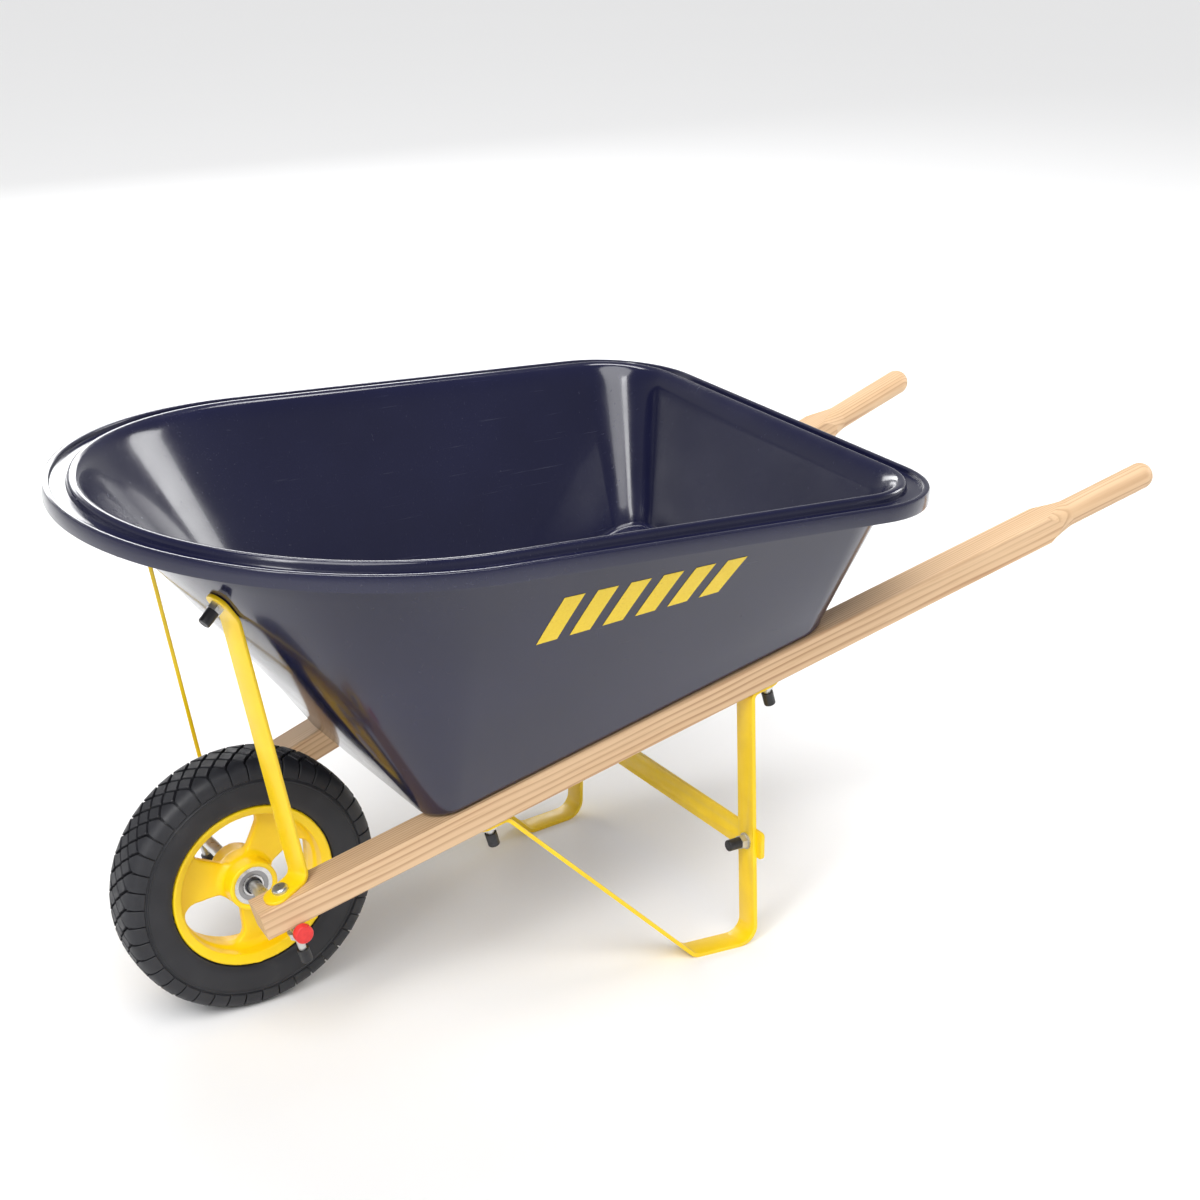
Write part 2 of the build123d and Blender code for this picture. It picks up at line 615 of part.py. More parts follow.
def brace_bolt(side):
    """Where the upper bolt's axis meets the outside of the tray, and the outward normal there."""
    meet, normal, uphill = brace_tab(side)
    outside = meet + uphill * BRACE_TAB_DROP + normal * RIM_OVERHANG
    return wall_hit(0, 0, outside, normal * -1)[0], normal


def strap_section(point, along, across_dir):
    """Rectangle of the brace's section at a point, square to its run."""
    side_dir = (across_dir - along * across_dir.dot(along)).normalized()
    thick = along.cross(side_dir).normalized()
    a = side_dir * (BRACE_WIDTH / 2)
    b = thick * (STRAP_THICKNESS / 2)
    corners = [point + a + b, point - a + b, point - a - b, point + a - b]
    return Wire.make_polygon(corners, close=True)


def bend_sections(before, corner, after, radius, across_start, across_end):
    """Sections round one bend, turning from one fold direction to another."""
    into = (corner - before).normalized()
    out = (after - corner).normalized()
    turn = radians(into.get_angle(out))
    arc_start = corner - into * (radius * tan(turn / 2))
    inward = (out - into * into.dot(out)).normalized()
    centre = arc_start + inward * radius
    sections = []
    for i in range(BEND_STEPS + 1):
        share = i / BEND_STEPS
        angle = turn * share
        along = into * cos(angle) + inward * sin(angle)
        point = centre + into * (radius * sin(angle)) - inward * (radius * cos(angle))
        sections.append(strap_section(point, along, across_start * (1 - share) + across_end * share))
    return sections


def round_end(plane, width, direction, reach):
    """Cutter that rounds a strap's end about a plane's origin, towards a direction."""
    half = width / 2
    local = plane.to_local_coords(plane.origin + direction)
    face = Plane(plane.origin, x_dir=direction - plane.z_dir * local.Z, z_dir=plane.z_dir)
    block = Pos(reach - half + width, 0, 0) * Box(2 * width, 2 * width, 6 * STRAP_THICKNESS)
    core = Pos(reach - half, 0, 0) * Cylinder(half, 8 * STRAP_THICKNESS)
    return face * (block - core)


def make_brace(side):
    """Strap from a rail's nose up to the front wall of the tray."""
    seat, heel_dir, fold = brace_foot(side)
    toe = seat - heel_dir * BRACE_TOE
    heel, _ = brace_line(side)
    _, normal, uphill = brace_tab(side)
    level = normal.cross(uphill)
    if level.dot(fold) < 0:
        level = level * -1
    stand_off = normal * (STRAP_THICKNESS / 2 + BRACE_WALL_GAP)
    flat = brace_bolt(side)[0] + stand_off
    shoulder = flat - uphill * BRACE_TAB_DROP
    tip = flat + uphill * BRACE_WIDTH / 2
    sections = [strap_section(toe, heel_dir, fold)]
    sections += bend_sections(toe, heel, shoulder, BRACE_HEEL_BEND, fold, fold)
    sections += bend_sections(heel, shoulder, tip, BRACE_TAB_BEND, fold, level)
    sections.append(strap_section(tip, uphill, level))
    brace = Solid.make_loft(sections, ruled=True)
    brace -= round_end(aim(seat, OFF_RAIL), BRACE_WIDTH, heel_dir * -1, BRACE_TOE)
    brace -= round_end(aim(flat, normal), BRACE_WIDTH, uphill, BRACE_WIDTH / 2)
    brace -= hole(axle_bolt_seat(side), RAIL_HEIGHT)
    brace -= hole(brace_bolt_seat(side), TRAY_WALL * 5)
    return brace


def brace_bolt_seat(side):
    """Seat of the head on its washer inside the tray; the bolt runs out through wall and brace."""
    contact, normal = brace_bolt(side)
    inside, _ = wall_hit(TRAY_WALL, TRAY_WALL, contact, normal * -1)
    return aim(inside - normal * WASHER_THICKNESS, normal * -1)


def brace_bolt_grip(side):
    """Length from the head's seat to the nut."""
    contact, _ = brace_bolt(side)
    seat = brace_bolt_seat(side).origin
    return (contact - seat).length + BRACE_WALL_GAP + STRAP_THICKNESS


# ---- sets of fasteners ----
def fastener_sets():
    """Seat, grip, thread past the nut and washer height for every bolt, by where it is used."""
    axle_grip = STRAP_THICKNESS + RAIL_HEIGHT + 2 * AXLE_RADIUS + WASHER_THICKNESS
    leg_grip = WASHER_THICKNESS + TRAY_WALL + RAIL_HEIGHT + STRAP_THICKNESS
    cross_grip = 2 * STRAP_THICKNESS + WASHER_THICKNESS
    sides = SIDES.values()
    return {
        "axle_bolt": [(axle_bolt_seat(side), axle_grip, THREAD_PAST_AXLE_NUT, WASHER_THICKNESS - axle_grip)
                      for side in sides],
        "leg_bolt": [(leg_bolt_seat(x, side), leg_grip, THREAD_PAST_LEG_NUT, 0)
                     for x in (LEG_FRONT_BOLT, LEG_REAR_BOLT) for side in sides],
        "brace_bolt": [(brace_bolt_seat(side), brace_bolt_grip(side), THREAD_PAST_NUT, 0) for side in sides],
        "cross_bolt": [(cross_bolt_seat(side), cross_grip, THREAD_PAST_NUT, WASHER_THICKNESS - cross_grip)
                       for side in sides]}


def make_fasteners():
    parts = {}
    for name, places in fastener_sets().items():
        parts[name + "s"] = group(seat * bolt_blank(grip, past) for seat, grip, past, _ in places)
        parts[name + "_nuts"] = group(seat * nut_blank(grip) for seat, grip, _, _ in places)
        parts[name + "_caps"] = group(seat * cap_blank(grip, past) for seat, grip, past, _ in places)
        parts[name + "_washers"] = group(seat * washer_blank(top) for seat, _, _, top in places)
    return parts


# ---- assembly ----
def make_parts():
    parts = {"tray": make_tray(), "axle": make_axle(), "wheel": make_wheel(), "tyre": make_tyre(),
             "hub_tube": make_hub_tube(), "leg_cross_brace": make_cross_brace()}
    parts["axle_clips"] = group(make_clip(side) for side in SIDES.values())
    for name, side in SIDES.items():
        parts["rail_" + name] = make_rail(side)
        parts["leg_" + name] = make_leg(side)
        parts["front_brace_" + name] = make_brace(side)
        parts["axle_cap_" + name] = make_axle_cap(side)
        for piece, shape in make_bearing(side).items():
            parts["bearing_" + piece + "_" + name] = shape
    parts.update(make_fasteners())
    return parts


def main():
    parts = make_parts()
    box = Compound(children=[shape.moved(Location()) for shape in parts.values()]).bounding_box()
    middle = (box.min.X + box.max.X) / 2
    print("axle at x =", round(-middle, 4), "size", box.size)
    os.makedirs("parts", exist_ok=True)
    for name, shape in parts.items():
        export_step(shape.moved(Pos(-middle, 0, 0)), "parts/" + name + ".step")


if __name__ == "__main__":
    main()
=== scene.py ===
# %% [markdown]
# # A child's wheelbarrow
# A deep moulded tray sits on two wooden rails, with painted strap-steel legs and one rubber-tyred wheel.
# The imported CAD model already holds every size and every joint, so it is loaded first as a fixed frame.
# Each new piece below is drawn over its CAD node and rides on the same body.

# %% Load the frame
import json
from math import cos, pi, radians, sin, tan

import bmesh
import bpy
from mathutils import Matrix, Vector

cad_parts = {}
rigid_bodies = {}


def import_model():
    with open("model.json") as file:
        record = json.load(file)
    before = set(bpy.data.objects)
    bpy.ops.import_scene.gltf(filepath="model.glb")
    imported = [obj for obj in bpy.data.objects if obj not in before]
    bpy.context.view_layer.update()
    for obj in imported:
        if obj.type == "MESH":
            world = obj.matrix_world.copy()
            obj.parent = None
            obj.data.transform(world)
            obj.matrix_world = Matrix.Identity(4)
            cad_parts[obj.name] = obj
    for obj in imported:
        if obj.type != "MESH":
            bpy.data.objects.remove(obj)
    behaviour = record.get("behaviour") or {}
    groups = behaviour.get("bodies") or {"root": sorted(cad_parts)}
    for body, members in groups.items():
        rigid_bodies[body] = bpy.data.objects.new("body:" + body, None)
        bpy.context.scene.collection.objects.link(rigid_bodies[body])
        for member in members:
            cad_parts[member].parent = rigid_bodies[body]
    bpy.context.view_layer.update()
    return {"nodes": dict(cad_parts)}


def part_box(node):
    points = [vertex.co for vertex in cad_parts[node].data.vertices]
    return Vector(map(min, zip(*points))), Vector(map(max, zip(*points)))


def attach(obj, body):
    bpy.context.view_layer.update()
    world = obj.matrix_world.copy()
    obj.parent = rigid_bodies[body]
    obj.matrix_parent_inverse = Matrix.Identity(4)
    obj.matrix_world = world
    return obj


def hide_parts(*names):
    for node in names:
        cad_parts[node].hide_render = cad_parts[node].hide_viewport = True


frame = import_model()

MM = 0.001
DEGREE = 180 / pi
tyre_low, tyre_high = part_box("tyre")
AXLE = (tyre_low + tyre_high) / 2


# %% [markdown]
# A few helpers do most of the modelling. `loft` starts from a circle, extrudes its edge row by row in
# edit mode and puts each new row where it belongs, which is how a shell with a changing section is drawn.
# A whole number on each point, carried along by the extrusion, says which station of the row it is.

# %% Helpers for modelling
def select_only(piece):
    bpy.ops.object.select_all(action="DESELECT")
    piece.select_set(True)
    bpy.context.view_layer.objects.active = piece


def loft(name, rows, capped=True):
    """Shell through rows of points, each row a closed loop with the same number of stations."""
    bpy.ops.object.select_all(action="DESELECT")
    bpy.ops.mesh.primitive_circle_add(vertices=len(rows[0]), radius=0.01, fill_type="NOTHING")
    shell = bpy.context.object
    shell.name = name
    bpy.ops.object.mode_set(mode="EDIT")
    mesh = bmesh.from_edit_mesh(shell.data)
    station = mesh.verts.layers.int.new("station")
    for i, point in enumerate(mesh.verts):
        point[station] = i
        point.co = rows[0][i]
    if capped:
        bpy.ops.mesh.edge_face_add()
        bpy.ops.mesh.select_all(action="DESELECT")
        mesh = bmesh.from_edit_mesh(shell.data)
        for edge in mesh.edges:
            edge.select_set(True)
    for row in rows[1:]:
        bpy.ops.mesh.extrude_edges_move()
        mesh = bmesh.from_edit_mesh(shell.data)
        station = mesh.verts.layers.int["station"]
        for point in mesh.verts:
            if point.select:
                point.co = row[point[station]]
    if capped:
        bpy.ops.mesh.edge_face_add()
    bpy.ops.mesh.select_all(action="SELECT")
    bpy.ops.mesh.normals_make_consistent(inside=False)
    bpy.ops.object.mode_set(mode="OBJECT")
    return shell


def smooth(piece, degrees):
    select_only(piece)
    bpy.ops.object.shade_smooth_by_angle(angle=radians(degrees))


def apply_modifier(piece, kind, **settings):
    select_only(piece)
    modifier = piece.modifiers.new(kind.title(), kind)
    for key, value in settings.items():
        setattr(modifier, key, value)
    bpy.ops.object.modifier_apply(modifier=modifier.name)


def join(name, pieces):
    select_only(pieces[0])
    for piece in pieces:
        piece.select_set(True)
    bpy.ops.object.join()
    joined = bpy.context.object
    joined.name = name
    return joined


def moved_copy(piece, matrix):
    copy = piece.copy()
    copy.data = piece.data.copy()
    copy.data.transform(matrix)
    bpy.context.scene.collection.objects.link(copy)
    return copy


def triangles(piece):
    return sum(len(face.vertices) - 2 for face in piece.data.polygons)


# %% [markdown]
# Materials are small node trees. `Nodes` starts a Principled shader from plain values on its own sockets, then
# adds nodes and wires them in one line each. Every pattern reads Object coordinates, in metres, so that it
# keeps its true scale on every piece.

# %% Helpers for materials
class Nodes:
    def __init__(self, name, **sockets):
        self.material = bpy.data.materials.new(name)
        self.material.use_nodes = True
        self.tree = self.material.node_tree
        self.shader = self.tree.nodes["Principled BSDF"]
        for key, value in sockets.items():
            self.shader.inputs[key.replace("_", " ")].default_value = value
        self.coords = self.tree.nodes.new("ShaderNodeTexCoord").outputs["Object"]

    def node(self, kind, inputs=None, **settings):
        made = self.tree.nodes.new("ShaderNode" + kind)
        for key, value in settings.items():
            setattr(made, key, value)
        for key, value in (inputs or {}).items():
            if isinstance(value, bpy.types.NodeSocket):
                self.tree.links.new(value, made.inputs[key])
            else:
                made.inputs[key].default_value = value
        return made

    def scaled(self, scale, vector=None, rotation=(0, 0, 0)):
        inputs = {"Vector": vector or self.coords, "Scale": scale, "Rotation": rotation}
        return self.node("Mapping", inputs).outputs[0]

    def noise(self, scale, detail=4.0, roughness=0.55, vector=None, distortion=0.0):
        return self.node("TexNoise", {"Vector": vector or self.coords, "Scale": scale, "Detail": detail,
                                      "Roughness": roughness, "Distortion": distortion}).outputs["Fac"]

    def ramp(self, fac, stops):
        made = self.node("ValToRGB", {"Fac": fac})
        elements = made.color_ramp.elements
        elements[0].position, elements[0].color = stops[0][0], (*stops[0][1], 1)
        elements[1].position, elements[1].color = stops[-1][0], (*stops[-1][1], 1)
        for position, colour in stops[1:-1]:
            elements.new(position).color = (*colour, 1)
        return made.outputs["Color"]

    def levels(self, fac, low, high, to_low=0.0, to_high=1.0):
        return self.node("MapRange", {"Value": fac, "From Min": low, "From Max": high,
                                      "To Min": to_low, "To Max": to_high}).outputs[0]

    def math(self, operation, a, b=0.0):
        return self.node("Math", {0: a, 1: b}, operation=operation).outputs[0]

    def mix(self, fac, a, b, blend="MIX"):
        made = self.node("Mix", data_type="RGBA", blend_type=blend)
        for socket, value in zip((made.inputs[0], made.inputs[6], made.inputs[7]), (fac, a, b)):
            if isinstance(value, bpy.types.NodeSocket):
                self.tree.links.new(value, socket)
            else:
                socket.default_value = value
        return made.outputs[2]

    def colour(self, source):
        self.tree.links.new(source, self.shader.inputs["Base Color"])

    def roughness(self, source):
        self.tree.links.new(source, self.shader.inputs["Roughness"])

    def bump(self, height, distance, strength=1.0):
        previous = self.shader.inputs["Normal"].links
        inputs = {"Height": height, "Distance": distance, "Strength": strength}
        if previous:
            inputs["Normal"] = previous[0].from_socket
        made = self.node("Bump", inputs)
        self.tree.links.new(made.outputs[0], self.shader.inputs["Normal"])


# %% [markdown]
# ## The camera, the light and the floor
# The barrow is seen from its left, a little in front and above, with a long lens. The camera is turned by three
# plain vectors, right, up and back, which say more about the view than three angles would.

# %% Camera
AZIMUTH = radians(-31.68)
ELEVATION = radians(21.60)
ROLL = radians(-0.36)
SENSOR = 36.0
LENS = 73.31
CAMERA_PLACE = (-0.9254, -1.5023, 0.9514)

back = Vector((sin(AZIMUTH) * cos(ELEVATION), -cos(AZIMUTH) * cos(ELEVATION), sin(ELEVATION)))
level = Vector((cos(AZIMUTH), sin(AZIMUTH), 0))
above = back.cross(level)
right = level * cos(ROLL) + above * sin(ROLL)
up = above * cos(ROLL) - level * sin(ROLL)
camera = bpy.data.objects.new("camera", bpy.data.cameras.new("camera"))
camera.data.sensor_width = SENSOR
camera.data.lens = LENS
turn = Matrix((right, up, back)).transposed().to_4x4()
camera.matrix_world = Matrix.Translation(CAMERA_PLACE) @ turn
bpy.context.scene.collection.objects.link(camera)
bpy.context.scene.camera = camera
print("camera at", [round(v, 3) for v in camera.location])


# %% [markdown]
# Big soft lights from above and from the sides suit glossy plastic, because what a gloss shows is the shape of
# its lights. A broad sun fills the shadows between them, so that none turns black.

# %% Soft lights
MIDDLE = (0, 0, 0.25)
LIGHTS = [("overhead", (0.3, 0.6, 2.3), (1.6, 0.4), 22), ("left_front", (-2.0, -1.2, 1.7), (0.5, 1.2), 18),
          ("behind", (2.5, -0.1, 1.0), (0.9, 0.9), 18), ("far_side", (0.3, 2.6, 1.1), (2.2, 0.5), 22)]
SUN_POWER = 2.5
SUN_SPREAD = radians(50)
SUN_TURN = (radians(28), radians(-22), 0)


def area_light(name, place, size, power):
    lamp = bpy.data.lights.new(name, "AREA")
    lamp.shape = "RECTANGLE"
    lamp.size, lamp.size_y = size
    lamp.energy = power
    holder = bpy.data.objects.new(name, lamp)
    holder.location = place
    holder.rotation_euler = (Vector(MIDDLE) - Vector(place)).to_track_quat("-Z", "Y").to_euler()
    holder.visible_camera = False
    bpy.context.scene.collection.objects.link(holder)


for light in LIGHTS:
    area_light(*light)
sun = bpy.data.lights.new("broad_light", "SUN")
sun.energy = SUN_POWER
sun.angle = SUN_SPREAD
sun_holder = bpy.data.objects.new("broad_light", sun)
sun_holder.rotation_euler = SUN_TURN
bpy.context.scene.collection.objects.link(sun_holder)
bpy.context.scene.view_settings.view_transform = "Standard"
print(len(LIGHTS), "soft lights and a broad sun")

# %% [markdown]
# The room is pale, bright at the horizon and dimmer overhead, so that upright gloss catches more than flat gloss.
# The brightness is a ramp over the height of the direction looked in. The floor is plain matt paper.

# %% A pale room
HORIZON = [(0.0, 0.60), (0.15, 0.42), (0.50, 0.24), (1.0, 0.16)]
SKY_BLUE = 1.02

world = bpy.data.worlds.new("studio")
world.use_nodes = True
sky = world.node_tree
direction = sky.nodes.new("ShaderNodeTexCoord")
split = sky.nodes.new("ShaderNodeSeparateXYZ")
shade = sky.nodes.new("ShaderNodeValToRGB")
stops = shade.color_ramp.elements
for height, _ in HORIZON[1:-1]:
    stops.new(height)
for stop, (height, light) in zip(stops, HORIZON):
    stop.position, stop.color = height, (light, light, light * SKY_BLUE, 1)
sky.links.new(direction.outputs["Generated"], split.inputs[0])
sky.links.new(split.outputs["Z"], shade.inputs[0])
sky.links.new(shade.outputs[0], sky.nodes["Background"].inputs["Color"])
bpy.context.scene.world = world
print("room ramp has", len(stops), "stops")

# %% Floor
FLOOR_SIZE = 400

bpy.ops.object.select_all(action="DESELECT")
bpy.ops.mesh.primitive_plane_add(size=FLOOR_SIZE)
floor = bpy.context.object
floor.name = "floor"
floor_paint = Nodes("floor_paper", Base_Color=(0.90, 0.90, 0.90, 1), Roughness=0.9)
floor.data.materials.append(floor_paint.material)
print("floor is", FLOOR_SIZE, "m wide")

# %% [markdown]
# ## The tray
# The tray is one injection moulding: a tub with a flat sloping floor, walls that flare out to a round nose, and
# a rolled rim with a bead, a channel, a lip and a skirt. It could be cut from blocks with booleans, but the wall
# is one continuous surface, so it is lofted: each row of points is the whole outline at one place on the section.
# The outline is stated as eight stretches, so that corner meets corner all the way up the wall.

# %% Tray sizes, in millimetres
RAIL_PITCH = radians(15.98)
RAIL_SPLAY = radians(5.3)
RAIL_SPACING = 172.0
RAIL_WIDTH = 25.5
RAIL_TOP_LIFT = 27.6
RIM_HEIGHT = 400.0
RIM_PITCH = radians(3.43)
RIM_NOSE = 113.0
RIM_LENGTH = 604.5
RIM_WIDTH = 446.0
RIM_CORNER = 76.0
TUB_FRONT = 115.0
TUB_REAR = 461.0
TUB_CORNER = 26.0
TUB_EDGE = 8.0
WALL = 3.0
TUB_EDGE_SWEEP = radians(75)
FLARE = radians(30)
RIM_OVERHANG = 31.0
STRETCHES = (24, 14, 16, 12, 16, 14, 24, 31)

up_rail = Vector((cos(RAIL_PITCH), 0, sin(RAIL_PITCH)))
off_rail = Vector((-sin(RAIL_PITCH), 0, cos(RAIL_PITCH)))
along_rim = Vector((cos(RIM_PITCH), 0, -sin(RIM_PITCH)))
off_rim = Vector((sin(RIM_PITCH), 0, cos(RIM_PITCH)))
across = Vector((0, 1, 0))


def in_scene(point):
    """Place of a point that is measured in millimetres from the floor under the axle."""
    return point * MM + Vector((AXLE.x, 0, 0))


# %% Outline of the rim
def rim_spot(stretch, share, inset):
    """Point of the rim's outline, in by inset, on its own plane."""
    radius = RIM_WIDTH / 2 - inset
    centre = RIM_WIDTH / 2 - RIM_NOSE
    rear = RIM_LENGTH - RIM_NOSE - inset
    corner = RIM_CORNER - inset
    quarter = share * pi / 2
    nose = FLARE + (pi / 2 - FLARE) * (share if stretch == 0 else 1 - share)
    front = FLARE * (1 - 2 * share)
    spots = ((centre - radius * cos(nose), -radius * sin(nose)),
             (centre + (rear - corner - centre) * share, -radius),
             (rear - corner + corner * sin(quarter), corner - radius - corner * cos(quarter)),
             (rear, (radius - corner) * (2 * share - 1)),
             (rear - corner + corner * cos(quarter), radius - corner + corner * sin(quarter)),
             (rear - corner + (centre - rear + corner) * share, radius),
             (centre - radius * cos(nose), radius * sin(nose)),
             (centre - radius * cos(front), radius * sin(front)))
    return spots[stretch]


# %% Outline of the tub's floor
def rail_outer(along):
    return RAIL_SPACING / 2 + along * tan(RAIL_SPLAY) + RAIL_WIDTH / 2 / cos(RAIL_SPLAY)


def floor_spot(stretch, share, inset):
    """Point of the tub's floor outline, in by inset: straight sides joined by arcs."""
    front, rear, radius = TUB_FRONT + inset, TUB_REAR - inset, TUB_CORNER - inset
    corners = [Vector((along, side * (rail_outer(along) - inset)))
               for along, side in ((front, -1), (rear, -1), (rear, 1), (front, 1))]

    def ends(i):
        here = corners[i % 4]
        before = (corners[(i - 1) % 4] - here).normalized()
        after = (corners[(i + 1) % 4] - here).normalized()
        half = before.angle(after) / 2
        centre = here + (before + after).normalized() * (radius / sin(half))
        reach = radius / tan(half)
        return here + before * reach, centre, here + after * reach, pi - 2 * half

    start, centre, end, sweep = ends(stretch // 2)
    if stretch % 2 == 0:
        turned_from = (start - centre) * sin((1 - share) * sweep)
        turned_to = (end - centre) * sin(share * sweep)
        return centre + (turned_from + turned_to) / sin(sweep)
    return end.lerp(ends(stretch // 2 + 1)[0], share)


# %% Rows of points on the two outlines
stations = [(k, i / count) for k, count in enumerate(STRETCHES) for i in range(count)]


def rim_row(inset, rise):
    points = []
    for stretch, share in stations:
        x, y = rim_spot(stretch, share, inset)
        points.append(Vector((0, 0, RIM_HEIGHT)) + along_rim * x + across * y + off_rim * rise)
    return points


def floor_row(inset, rise):
    points = []
    for stretch, share in stations:
        along, y = floor_spot(stretch, share, inset)
        start = Vector((0, 0, AXLE.z / MM)) + off_rail * (RAIL_TOP_LIFT + rise)
        points.append(start + up_rail * along + across * y)
    return points


print("tray outline has", len(stations), "stations")

# %% [markdown]
# The rows go from the middle of the floor up the inside, over the rim and down the outside. Between the inner
# wall and the bead the plastic turns over in a soft roll, drawn as a curve that leaves along the wall and arrives
# level. The channel outside the bead is what stiffens the rim.

# %% Floor's edge and wall
EDGE_STEPS = 6
WALL_STEPS = 8
CAP_MARGIN = 9.0


def edge_rows(inset, rise):
    """Rounding where the tub's floor turns up into its wall."""
    radius = TUB_EDGE - inset
    angles = [TUB_EDGE_SWEEP * i / EDGE_STEPS for i in range(EDGE_STEPS + 1)]
    return [floor_row(inset + radius * (1 - sin(a)), rise + radius * (1 - cos(a))) for a in angles]


def between(low, high, count):
    return [[a.lerp(b, i / count) for a, b in zip(low, high)] for i in range(1, count)]


print(EDGE_STEPS, "steps round the floor's edge and", WALL_STEPS, "up the wall")

# %% Roll from the wall over to the bead
ROLL_STEPS = 9
ROLL_START = -7.0
ROLL_BACK = 13.0
ROLL_LEAD = 3.5
ROLL_LEVEL_INSET = 27.0
BEAD_INSET = 20.4
BEAD_RADIUS = 3.0
BEAD_ANGLES = (16, 32, 48, 64, 80)


def roll_rows(low, high):
    """Soft turn from the wall's top over to the bead."""
    level_row, end_row = rim_row(ROLL_LEVEL_INSET, BEAD_RADIUS), rim_row(BEAD_INSET, BEAD_RADIUS)
    rows = []
    for i in range(ROLL_STEPS + 1):
        t = i / ROLL_STEPS
        row = []
        for a, b, c, d in zip(low, high, level_row, end_row):
            climb = (b - a).normalized()
            p0, p1 = b - climb * ROLL_BACK, b + climb * ROLL_LEAD
            near = p0 * (1 - t) ** 3 + p1 * 3 * t * (1 - t) ** 2
            row.append(near + c * 3 * t * t * (1 - t) + d * t ** 3)
        rows.append(row)
    return rows


def round_bead():
    angles = [radians(a) for a in BEAD_ANGLES]
    return [rim_row(BEAD_INSET - BEAD_RADIUS * sin(a), BEAD_RADIUS * cos(a)) for a in angles]


print(ROLL_STEPS, "steps over the roll and", len(BEAD_ANGLES), "round the bead")

# %% Channel, lip and skirt, as (inset, rise)
RIM_SECTION = [(17.0, -0.9), (16.75, -2.6), (16.3, -3.6), (15.2, -4.0), (10.8, -4.0), (6.5, -4.0),
               (5.44, -3.56), (5.0, -2.5), (5.0, -1.5), (4.56, -0.44), (3.5, 0.0), (1.5, 0.0),
               (0.44, -0.44), (0.0, -1.5), (0.0, -6.0), (0.0, -11.2), (0.3, -11.8), (0.8, -12.0),
               (2.2, -12.0), (2.7, -11.8), (3.0, -11.2), (3.0, -8.0), (3.3, -7.3), (4.0, -7.0),
               (11.0, -7.0), (17.6, -7.0), (19.0, -6.3), (19.6, -5.0), (20.2, -1.0), (20.6, -0.2),
               (21.4, 0.0)]
UNDER_INSET = 21.0
UNDER_RADIUS = 7.0
UNDER_ANGLES = (15, 30, 45, 60, 75)
print("rim section has", len(RIM_SECTION), "points")

# %% Loft the tray
TRAY_SMOOTH = 40

inner_edge = edge_rows(WALL, WALL)
inner_top = rim_row(RIM_OVERHANG, ROLL_START)
roll = roll_rows(inner_edge[-1], inner_top)
outer_top = rim_row(RIM_OVERHANG - WALL, ROLL_START)
under_roll = [rim_row(UNDER_INSET + UNDER_RADIUS * sin(a), UNDER_RADIUS * cos(a) - UNDER_RADIUS)
              for a in map(radians, UNDER_ANGLES)]
outer_edge = edge_rows(0, 0)
rows = [floor_row(WALL + TUB_EDGE + CAP_MARGIN, WALL)]
rows += inner_edge + between(inner_edge[-1], roll[0], WALL_STEPS)
rows += roll + round_bead() + [rim_row(*spot) for spot in RIM_SECTION]
rows += under_roll + [outer_top] + between(outer_top, outer_edge[-1], WALL_STEPS)
rows += outer_edge[::-1] + [floor_row(TUB_EDGE + CAP_MARGIN, 0)]
rows = [[in_scene(point) for point in row] for row in rows]
tray = loft("tray_shell", rows)
smooth(tray, TRAY_SMOOTH)
print("tray_shell:", len(rows), "rows,", triangles(tray), "triangles")

# %% [markdown]
# Tray plastic is dark navy polypropylene, glossy but handled: it has fine straight scratches, a faint dust and
# small changes in gloss. A picture of scratches isn't needed. Noise that is stretched a hundred times along
# one direction gives thin lines, and two crossed layers look like wiping marks.

# %% Tray plastic
TRAY_TONES = [(0.3, (0.0055, 0.0062, 0.029)), (0.7, (0.0085, 0.0095, 0.039))]
SCRATCH_COLOUR = (0.20, 0.21, 0.26, 1)
DUST_COLOUR = (0.35, 0.35, 0.36, 1)

plastic = Nodes("navy_plastic", Roughness=0.2, Coat_Weight=0.3, Coat_Roughness=0.06, IOR=1.5)
wipe_a = plastic.noise(1.0, detail=6.0, vector=plastic.scaled((18, 900, 300), rotation=(0.2, 0.1, 0.5)))
wipe_b = plastic.noise(1.0, detail=6.0, vector=plastic.scaled((700, 14, 260), rotation=(0.1, 0.3, -0.3)))
scratches = plastic.math("MAXIMUM", plastic.levels(wipe_a, 0.66, 0.74), plastic.levels(wipe_b, 0.67, 0.75))
patches = plastic.noise(9.0, detail=5.0)
specks = plastic.levels(plastic.noise(900.0, detail=2.0), 0.70, 0.78)
dust = plastic.math("MULTIPLY", specks, plastic.levels(patches, 0.45, 0.7))
tone = plastic.ramp(patches, TRAY_TONES)
marked = plastic.mix(plastic.math("MULTIPLY", scratches, 0.09), tone, SCRATCH_COLOUR)
plastic.colour(plastic.mix(plastic.math("MULTIPLY", dust, 0.35), marked, DUST_COLOUR))
gloss = plastic.levels(plastic.noise(26.0, detail=6.0), 0.3, 0.7, 0.13, 0.24)
plastic.roughness(plastic.math("ADD", gloss, plastic.math("MULTIPLY", scratches, 0.12)))
plastic.bump(scratches, 0.00003, 0.5)
plastic.bump(plastic.noise(120.0, detail=2.0), 0.00005, 0.2)
tray.data.materials.append(plastic.material)
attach(tray, "frame")
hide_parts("tray")
print("tray finish:", plastic.material.name)

# %% [markdown]
# ## The bars on the tray's sides
# Each side carries a plain printed graphic: a row of slanted yellow bars. A print has almost no thickness, so
# each bar is a grid laid on the wall and lifted off it by a hair, which keeps its edges crisp from any distance.

